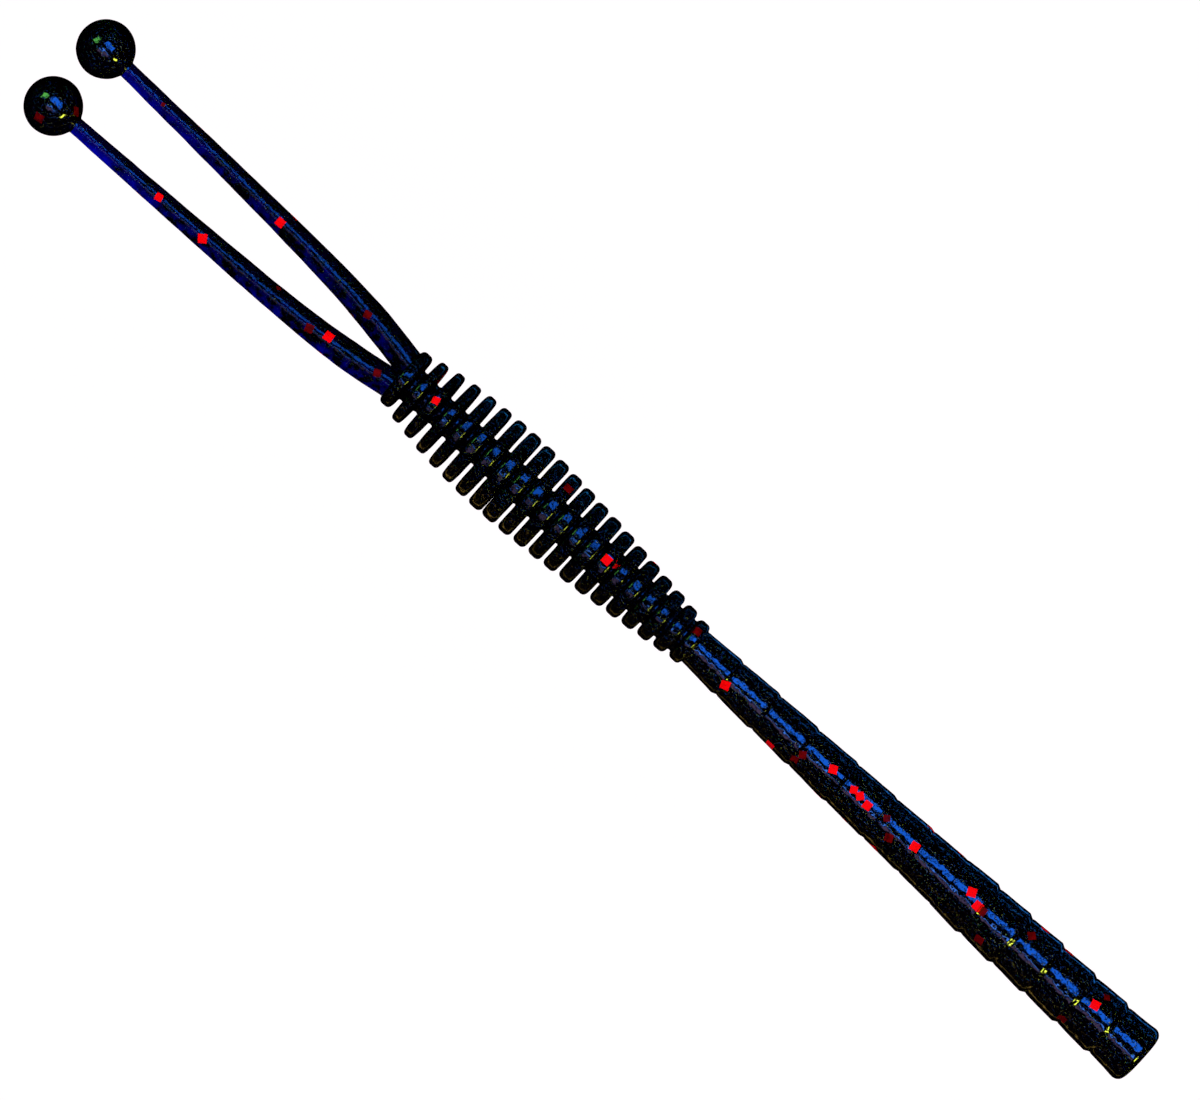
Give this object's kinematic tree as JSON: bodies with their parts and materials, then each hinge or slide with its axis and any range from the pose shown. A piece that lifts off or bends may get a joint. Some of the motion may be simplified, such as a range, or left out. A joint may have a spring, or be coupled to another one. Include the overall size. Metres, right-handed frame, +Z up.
{
  "type": "soft plastic fishing lure",
  "caption": "Slim soft-plastic lure with a stepped, tapering head, a stack of round ribs on a thin stem, and a forked tail of two arms that end in balls.",
  "frame": {"origin": "middle of the flat nose face", "axes": "+X runs along the lure from the nose to the tail, +Z is up from the surface it lies on, and the two arms lie side by side along Y"},
  "size_m": [0.1521, 0.0142, 0.0099],
  "materials": {
    "dark_plastic": "gloss",
    "blue_plastic": "gloss",
    "red_flake": "gloss"
  },
  "bodies": {
    "nose_segment": {"nose_segment": "dark_plastic"},
    "head_segment_02": {"head_segment_02": "dark_plastic"},
    "head_segment_03": {"head_segment_03": "dark_plastic"},
    "head_segment_04": {"head_segment_04": "dark_plastic"},
    "head_segment_05": {"head_segment_05": "dark_plastic"},
    "head_segment_06": {"head_segment_06": "dark_plastic"},
    "head_segment_07": {"head_segment_07": "dark_plastic"},
    "head_segment_08": {"head_segment_08": "dark_plastic"},
    "head_segment_09": {"head_segment_09": "dark_plastic"},
    "head_segment_10": {"head_segment_10": "dark_plastic"},
    "head_segment_11": {"head_segment_11": "dark_plastic"},
    "head_segment_12": {"head_segment_12": "dark_plastic"},
    "head_segment_13": {"head_segment_13": "dark_plastic"},
    "rib_01": {"rib_01": "dark_plastic"},
    "rib_02": {"rib_02": "dark_plastic"},
    "rib_03": {"rib_03": "dark_plastic"},
    "rib_04": {"rib_04": "dark_plastic"},
    "rib_05": {"rib_05": "dark_plastic"},
    "rib_06": {"rib_06": "dark_plastic"},
    "rib_07": {"rib_07": "dark_plastic"},
    "rib_08": {"rib_08": "dark_plastic"},
    "rib_09": {"rib_09": "dark_plastic"},
    "rib_10": {"rib_10": "dark_plastic"},
    "rib_11": {"rib_11": "dark_plastic"},
    "rib_12": {"rib_12": "dark_plastic"},
    "rib_13": {"rib_13": "dark_plastic"},
    "rib_14": {"rib_14": "dark_plastic"},
    "rib_15": {"rib_15": "dark_plastic"},
    "rib_16": {"rib_16": "dark_plastic"},
    "rib_17": {"rib_17": "dark_plastic"},
    "rib_18": {"rib_18": "dark_plastic"},
    "rib_19": {"rib_19": "dark_plastic"},
    "rib_20": {"rib_20": "dark_plastic"},
    "tail_collar": {"tail_collar": "dark_plastic", "tail_fork": "blue_plastic"},
    "left_arm_1": {"left_arm_1": "blue_plastic"},
    "left_arm_2": {"left_arm_2": "blue_plastic"},
    "left_arm_3": {"left_arm_3": "blue_plastic"},
    "left_arm_4": {"left_arm_4": "blue_plastic"},
    "left_arm_5": {"left_arm_5": "blue_plastic"},
    "left_arm_6": {"left_arm_6": "blue_plastic"},
    "left_arm_7": {"left_arm_7": "blue_plastic"},
    "left_arm_8": {"left_arm_8": "blue_plastic", "left_ball": "dark_plastic"},
    "right_arm_1": {"right_arm_1": "blue_plastic"},
    "right_arm_2": {"right_arm_2": "blue_plastic"},
    "right_arm_3": {"right_arm_3": "blue_plastic"},
    "right_arm_4": {"right_arm_4": "blue_plastic"},
    "right_arm_5": {"right_arm_5": "blue_plastic"},
    "right_arm_6": {"right_arm_6": "blue_plastic"},
    "right_arm_7": {"right_arm_7": "blue_plastic"},
    "right_arm_8": {"right_arm_8": "blue_plastic", "right_ball": "dark_plastic"}
  },
  "joints": [
    {"name": "head_side_1", "type": "hinge", "parent": "nose_segment", "child": "head_segment_02", "pos_m": [0.00438, 0, 0], "axis": [0.002, 0, 1], "range_deg": [-0.74, 0.74], "stiffness_Nm_per_rad": 0.0016},
    {"name": "head_up_1", "type": "hinge", "parent": "head_segment_02", "child": "head_segment_03", "pos_m": [0.00889, 0, 0], "axis": [0.002, -1, 0], "range_deg": [-0.74, 0.74], "stiffness_Nm_per_rad": 0.0016},
    {"name": "head_side_2", "type": "hinge", "parent": "head_segment_03", "child": "head_segment_04", "pos_m": [0.0134, 0, 0], "axis": [0.002, 0, 1], "range_deg": [-0.75, 0.75], "stiffness_Nm_per_rad": 0.0016},
    {"name": "head_up_2", "type": "hinge", "parent": "head_segment_04", "child": "head_segment_05", "pos_m": [0.01791, 0, 0], "axis": [0.002, -1, 0], "range_deg": [-0.75, 0.75], "stiffness_Nm_per_rad": 0.0016},
    {"name": "head_side_3", "type": "hinge", "parent": "head_segment_05", "child": "head_segment_06", "pos_m": [0.02242, 0, 0], "axis": [0.002, 0, 1], "range_deg": [-0.75, 0.75], "stiffness_Nm_per_rad": 0.0015},
    {"name": "head_up_3", "type": "hinge", "parent": "head_segment_06", "child": "head_segment_07", "pos_m": [0.02693, 0, 0.00003], "axis": [0.002, -1, 0], "range_deg": [-0.83, 0.83], "stiffness_Nm_per_rad": 0.0013},
    {"name": "head_side_4", "type": "hinge", "parent": "head_segment_07", "child": "head_segment_08", "pos_m": [0.03144, 0, 0.00009], "axis": [0.002, 0, 1], "range_deg": [-1.1, 1.1], "stiffness_Nm_per_rad": 0.00093},
    {"name": "head_up_4", "type": "hinge", "parent": "head_segment_08", "child": "head_segment_09", "pos_m": [0.03649, 0, 0.00019], "axis": [0.002, -1, 0], "range_deg": [-1.33, 1.33], "stiffness_Nm_per_rad": 0.00071},
    {"name": "head_side_5", "type": "hinge", "parent": "head_segment_09", "child": "head_segment_10", "pos_m": [0.04179, 0, 0.00034], "axis": [0.002, 0, 1], "range_deg": [-1.62, 1.62], "stiffness_Nm_per_rad": 0.00056},
    {"name": "head_up_5", "type": "hinge", "parent": "head_segment_10", "child": "head_segment_11", "pos_m": [0.04719, 0, 0.00051], "axis": [0.002, -1, 0], "range_deg": [-2, 2], "stiffness_Nm_per_rad": 0.00045},
    {"name": "head_side_6", "type": "hinge", "parent": "head_segment_11", "child": "head_segment_12", "pos_m": [0.05249, 0, 0.0007], "axis": [0.002, 0, 1], "range_deg": [-2.48, 2.48], "stiffness_Nm_per_rad": 0.00037},
    {"name": "head_up_6", "type": "hinge", "parent": "head_segment_12", "child": "head_segment_13", "pos_m": [0.05766, 0, 0.00088], "axis": [0.002, -1, 0], "range_deg": [-3.13, 3.13], "stiffness_Nm_per_rad": 0.0003},
    {"name": "rib_side_1", "type": "hinge", "parent": "head_segment_13", "child": "rib_01", "pos_m": [0.06263, 0, 0.00106], "axis": [0.002, 0, 1], "range_deg": [-4, 4], "stiffness_Nm_per_rad": 0.001},
    {"name": "rib_up_1", "type": "hinge", "parent": "rib_01", "child": "rib_02", "pos_m": [0.06434, 0, 0.00111], "axis": [0.002, -1, 0], "range_deg": [-4, 4], "stiffness_Nm_per_rad": 0.001},
    {"name": "rib_side_2", "type": "hinge", "parent": "rib_02", "child": "rib_03", "pos_m": [0.06633, 0, 0.00118], "axis": [0.002, 0, 1], "range_deg": [-4, 4], "stiffness_Nm_per_rad": 0.001},
    {"name": "rib_up_2", "type": "hinge", "parent": "rib_03", "child": "rib_04", "pos_m": [0.06831, 0, 0.00124], "axis": [0.002, -1, 0], "range_deg": [-4, 4], "stiffness_Nm_per_rad": 0.001},
    {"name": "rib_side_3", "type": "hinge", "parent": "rib_04", "child": "rib_05", "pos_m": [0.07031, 0, 0.0013], "axis": [0.002, 0, 1], "range_deg": [-4, 4], "stiffness_Nm_per_rad": 0.00099},
    {"name": "rib_up_3", "type": "hinge", "parent": "rib_05", "child": "rib_06", "pos_m": [0.0723, 0, 0.00135], "axis": [0.002, -1, 0], "range_deg": [-4, 4], "stiffness_Nm_per_rad": 0.00095},
    {"name": "rib_side_4", "type": "hinge", "parent": "rib_06", "child": "rib_07", "pos_m": [0.07428, 0, 0.0014], "axis": [0.002, 0, 1], "range_deg": [-4, 4], "stiffness_Nm_per_rad": 0.00092},
    {"name": "rib_up_4", "type": "hinge", "parent": "rib_07", "child": "rib_08", "pos_m": [0.07627, 0, 0.00144], "axis": [0.002, -1, 0], "range_deg": [-4, 4], "stiffness_Nm_per_rad": 0.00089},
    {"name": "rib_side_5", "type": "hinge", "parent": "rib_08", "child": "rib_09", "pos_m": [0.07826, 0, 0.00148], "axis": [0.002, 0, 1], "range_deg": [-4, 4], "stiffness_Nm_per_rad": 0.00086},
    {"name": "rib_up_5", "type": "hinge", "parent": "rib_09", "child": "rib_10", "pos_m": [0.08024, 0, 0.00152], "axis": [0.002, -1, 0], "range_deg": [-4, 4], "stiffness_Nm_per_rad": 0.00083},
    {"name": "rib_side_6", "type": "hinge", "parent": "rib_10", "child": "rib_11", "pos_m": [0.08223, 0, 0.00154], "axis": [0.002, 0, 1], "range_deg": [-4, 4], "stiffness_Nm_per_rad": 0.0008},
    {"name": "rib_up_6", "type": "hinge", "parent": "rib_11", "child": "rib_12", "pos_m": [0.08421, 0, 0.00156], "axis": [0.002, -1, 0], "range_deg": [-4, 4], "stiffness_Nm_per_rad": 0.00077},
    {"name": "rib_side_7", "type": "hinge", "parent": "rib_12", "child": "rib_13", "pos_m": [0.0862, 0, 0.00158], "axis": [0.002, 0, 1], "range_deg": [-4, 4], "stiffness_Nm_per_rad": 0.00074},
    {"name": "rib_up_7", "type": "hinge", "parent": "rib_13", "child": "rib_14", "pos_m": [0.08818, 0, 0.00158], "axis": [0.002, -1, 0], "range_deg": [-4, 4], "stiffness_Nm_per_rad": 0.00071},
    {"name": "rib_side_8", "type": "hinge", "parent": "rib_14", "child": "rib_15", "pos_m": [0.09021, 0, 0.00157], "axis": [0.002, 0, 1], "range_deg": [-4, 4], "stiffness_Nm_per_rad": 0.0006},
    {"name": "rib_up_8", "type": "hinge", "parent": "rib_15", "child": "rib_16", "pos_m": [0.09219, 0, 0.00156], "axis": [0.002, -1, 0], "range_deg": [-4, 4], "stiffness_Nm_per_rad": 0.00053},
    {"name": "rib_side_9", "type": "hinge", "parent": "rib_16", "child": "rib_17", "pos_m": [0.09417, 0, 0.00153], "axis": [0.002, 0, 1], "range_deg": [-4, 4], "stiffness_Nm_per_rad": 0.00047},
    {"name": "rib_up_9", "type": "hinge", "parent": "rib_17", "child": "rib_18", "pos_m": [0.09615, 0, 0.00149], "axis": [0.002, -1, 0], "range_deg": [-4, 4], "stiffness_Nm_per_rad": 0.00043},
    {"name": "rib_side_10", "type": "hinge", "parent": "rib_18", "child": "rib_19", "pos_m": [0.09813, 0, 0.00145], "axis": [0.002, 0, 1], "range_deg": [-4, 4], "stiffness_Nm_per_rad": 0.0004},
    {"name": "rib_up_10", "type": "hinge", "parent": "rib_19", "child": "rib_20", "pos_m": [0.1001, 0, 0.00139], "axis": [0.002, -1, 0], "range_deg": [-4, 4], "stiffness_Nm_per_rad": 0.00049},
    {"name": "rib_side_11", "type": "hinge", "parent": "rib_20", "child": "tail_collar", "pos_m": [0.10201, 0, 0.00134], "axis": [0.002, 0, 1], "range_deg": [-4, 4], "stiffness_Nm_per_rad": 0.00073},
    {"name": "left_arm_side_1", "type": "hinge", "parent": "tail_collar", "child": "left_arm_1", "pos_m": [0.10726, 0.00195, 0.00115], "axis": [0.002, 0, 1], "range_deg": [-0.4, 10], "stiffness_Nm_per_rad": 0.000098},
    {"name": "left_arm_up_1", "type": "hinge", "parent": "left_arm_1", "child": "left_arm_2", "pos_m": [0.11211, 0.00256, 0.00095], "axis": [0.002, -1, 0], "range_deg": [-10, 10], "stiffness_Nm_per_rad": 0.000078},
    {"name": "left_arm_side_2", "type": "hinge", "parent": "left_arm_2", "child": "left_arm_3", "pos_m": [0.11696, 0.00292, 0.00073], "axis": [0.002, 0, 1], "range_deg": [-0.4, 10], "stiffness_Nm_per_rad": 0.000058},
    {"name": "left_arm_up_2", "type": "hinge", "parent": "left_arm_3", "child": "left_arm_4", "pos_m": [0.12181, 0.00316, 0.00051], "axis": [0.002, -1, 0], "range_deg": [-10, 10], "stiffness_Nm_per_rad": 0.000044},
    {"name": "left_arm_side_3", "type": "hinge", "parent": "left_arm_4", "child": "left_arm_5", "pos_m": [0.12665, 0.00335, 0.0003], "axis": [0.002, 0, 1], "range_deg": [-0.4, 10], "stiffness_Nm_per_rad": 0.000034},
    {"name": "left_arm_up_3", "type": "hinge", "parent": "left_arm_5", "child": "left_arm_6", "pos_m": [0.1315, 0.0035, 0.0001], "axis": [0.002, -1, 0], "range_deg": [-10, 10], "stiffness_Nm_per_rad": 0.000026},
    {"name": "left_arm_side_4", "type": "hinge", "parent": "left_arm_6", "child": "left_arm_7", "pos_m": [0.13635, 0.00364, -0.00006], "axis": [0.002, 0, 1], "range_deg": [-0.4, 10], "stiffness_Nm_per_rad": 0.000019},
    {"name": "left_arm_up_4", "type": "hinge", "parent": "left_arm_7", "child": "left_arm_8", "pos_m": [0.1412, 0.00378, -0.00019], "axis": [0.002, -1, 0], "range_deg": [-10, 10], "stiffness_Nm_per_rad": 0.000014},
    {"name": "right_arm_side_1", "type": "hinge", "parent": "tail_collar", "child": "right_arm_1", "pos_m": [0.10726, -0.00195, 0.00115], "axis": [-0.002, 0, -1], "range_deg": [-0.4, 10], "stiffness_Nm_per_rad": 0.000098},
    {"name": "right_arm_up_1", "type": "hinge", "parent": "right_arm_1", "child": "right_arm_2", "pos_m": [0.11211, -0.00256, 0.00095], "axis": [-0.002, -1, 0], "range_deg": [-10, 10], "stiffness_Nm_per_rad": 0.000078},
    {"name": "right_arm_side_2", "type": "hinge", "parent": "right_arm_2", "child": "right_arm_3", "pos_m": [0.11696, -0.00292, 0.00073], "axis": [-0.002, 0, -1], "range_deg": [-0.4, 10], "stiffness_Nm_per_rad": 0.000058},
    {"name": "right_arm_up_2", "type": "hinge", "parent": "right_arm_3", "child": "right_arm_4", "pos_m": [0.12181, -0.00316, 0.00051], "axis": [-0.002, -1, 0], "range_deg": [-10, 10], "stiffness_Nm_per_rad": 0.000044},
    {"name": "right_arm_side_3", "type": "hinge", "parent": "right_arm_4", "child": "right_arm_5", "pos_m": [0.12665, -0.00335, 0.0003], "axis": [-0.002, 0, -1], "range_deg": [-0.4, 10], "stiffness_Nm_per_rad": 0.000034},
    {"name": "right_arm_up_3", "type": "hinge", "parent": "right_arm_5", "child": "right_arm_6", "pos_m": [0.1315, -0.0035, 0.0001], "axis": [-0.002, -1, 0], "range_deg": [-10, 10], "stiffness_Nm_per_rad": 0.000026},
    {"name": "right_arm_side_4", "type": "hinge", "parent": "right_arm_6", "child": "right_arm_7", "pos_m": [0.13635, -0.00364, -0.00006], "axis": [-0.002, 0, -1], "range_deg": [-0.4, 10], "stiffness_Nm_per_rad": 0.000019},
    {"name": "right_arm_up_4", "type": "hinge", "parent": "right_arm_7", "child": "right_arm_8", "pos_m": [0.1412, -0.00378, -0.00019], "axis": [-0.002, -1, 0], "range_deg": [-10, 10], "stiffness_Nm_per_rad": 0.000014}
  ],
  "couplings": [
    {"joint": "head_side_2", "follows": "head_side_1", "ratio": 1},
    {"joint": "head_up_2", "follows": "head_up_1", "ratio": 1},
    {"joint": "head_side_3", "follows": "head_side_1", "ratio": 1},
    {"joint": "head_up_3", "follows": "head_up_1", "ratio": 1.1102},
    {"joint": "head_side_4", "follows": "head_side_1", "ratio": 1.4812},
    {"joint": "head_up_4", "follows": "head_up_1", "ratio": 1.7876},
    {"joint": "head_side_5", "follows": "head_side_1", "ratio": 2.1774},
    {"joint": "head_up_5", "follows": "head_up_1", "ratio": 2.6801},
    {"joint": "head_side_6", "follows": "head_side_1", "ratio": 3.336},
    {"joint": "head_up_6", "follows": "head_up_1", "ratio": 4.2056},
    {"joint": "rib_side_2", "follows": "rib_side_1", "ratio": 1},
    {"joint": "rib_up_2", "follows": "rib_up_1", "ratio": 1},
    {"joint": "rib_side_3", "follows": "rib_side_1", "ratio": 1},
    {"joint": "rib_up_3", "follows": "rib_up_1", "ratio": 1},
    {"joint": "rib_side_4", "follows": "rib_side_1", "ratio": 1},
    {"joint": "rib_up_4", "follows": "rib_up_1", "ratio": 1},
    {"joint": "rib_side_5", "follows": "rib_side_1", "ratio": 1},
    {"joint": "rib_up_5", "follows": "rib_up_1", "ratio": 1},
    {"joint": "rib_side_6", "follows": "rib_side_1", "ratio": 1},
    {"joint": "rib_up_6", "follows": "rib_up_1", "ratio": 1},
    {"joint": "rib_side_7", "follows": "rib_side_1", "ratio": 1},
    {"joint": "rib_up_7", "follows": "rib_up_1", "ratio": 1},
    {"joint": "rib_side_8", "follows": "rib_side_1", "ratio": 1},
    {"joint": "rib_up_8", "follows": "rib_up_1", "ratio": 1},
    {"joint": "rib_side_9", "follows": "rib_side_1", "ratio": 1},
    {"joint": "rib_up_9", "follows": "rib_up_1", "ratio": 1},
    {"joint": "rib_side_10", "follows": "rib_side_1", "ratio": 1},
    {"joint": "rib_up_10", "follows": "rib_up_1", "ratio": 1},
    {"joint": "rib_side_11", "follows": "rib_side_1", "ratio": 1},
    {"joint": "left_arm_side_2", "follows": "left_arm_side_1", "ratio": 1},
    {"joint": "left_arm_up_2", "follows": "left_arm_up_1", "ratio": 1},
    {"joint": "left_arm_side_3", "follows": "left_arm_side_1", "ratio": 1},
    {"joint": "left_arm_up_3", "follows": "left_arm_up_1", "ratio": 1},
    {"joint": "left_arm_side_4", "follows": "left_arm_side_1", "ratio": 1},
    {"joint": "left_arm_up_4", "follows": "left_arm_up_1", "ratio": 1},
    {"joint": "right_arm_side_2", "follows": "right_arm_side_1", "ratio": 1},
    {"joint": "right_arm_up_2", "follows": "right_arm_up_1", "ratio": 1},
    {"joint": "right_arm_side_3", "follows": "right_arm_side_1", "ratio": 1},
    {"joint": "right_arm_up_3", "follows": "right_arm_up_1", "ratio": 1},
    {"joint": "right_arm_side_4", "follows": "right_arm_side_1", "ratio": 1},
    {"joint": "right_arm_up_4", "follows": "right_arm_up_1", "ratio": 1}
  ]
}
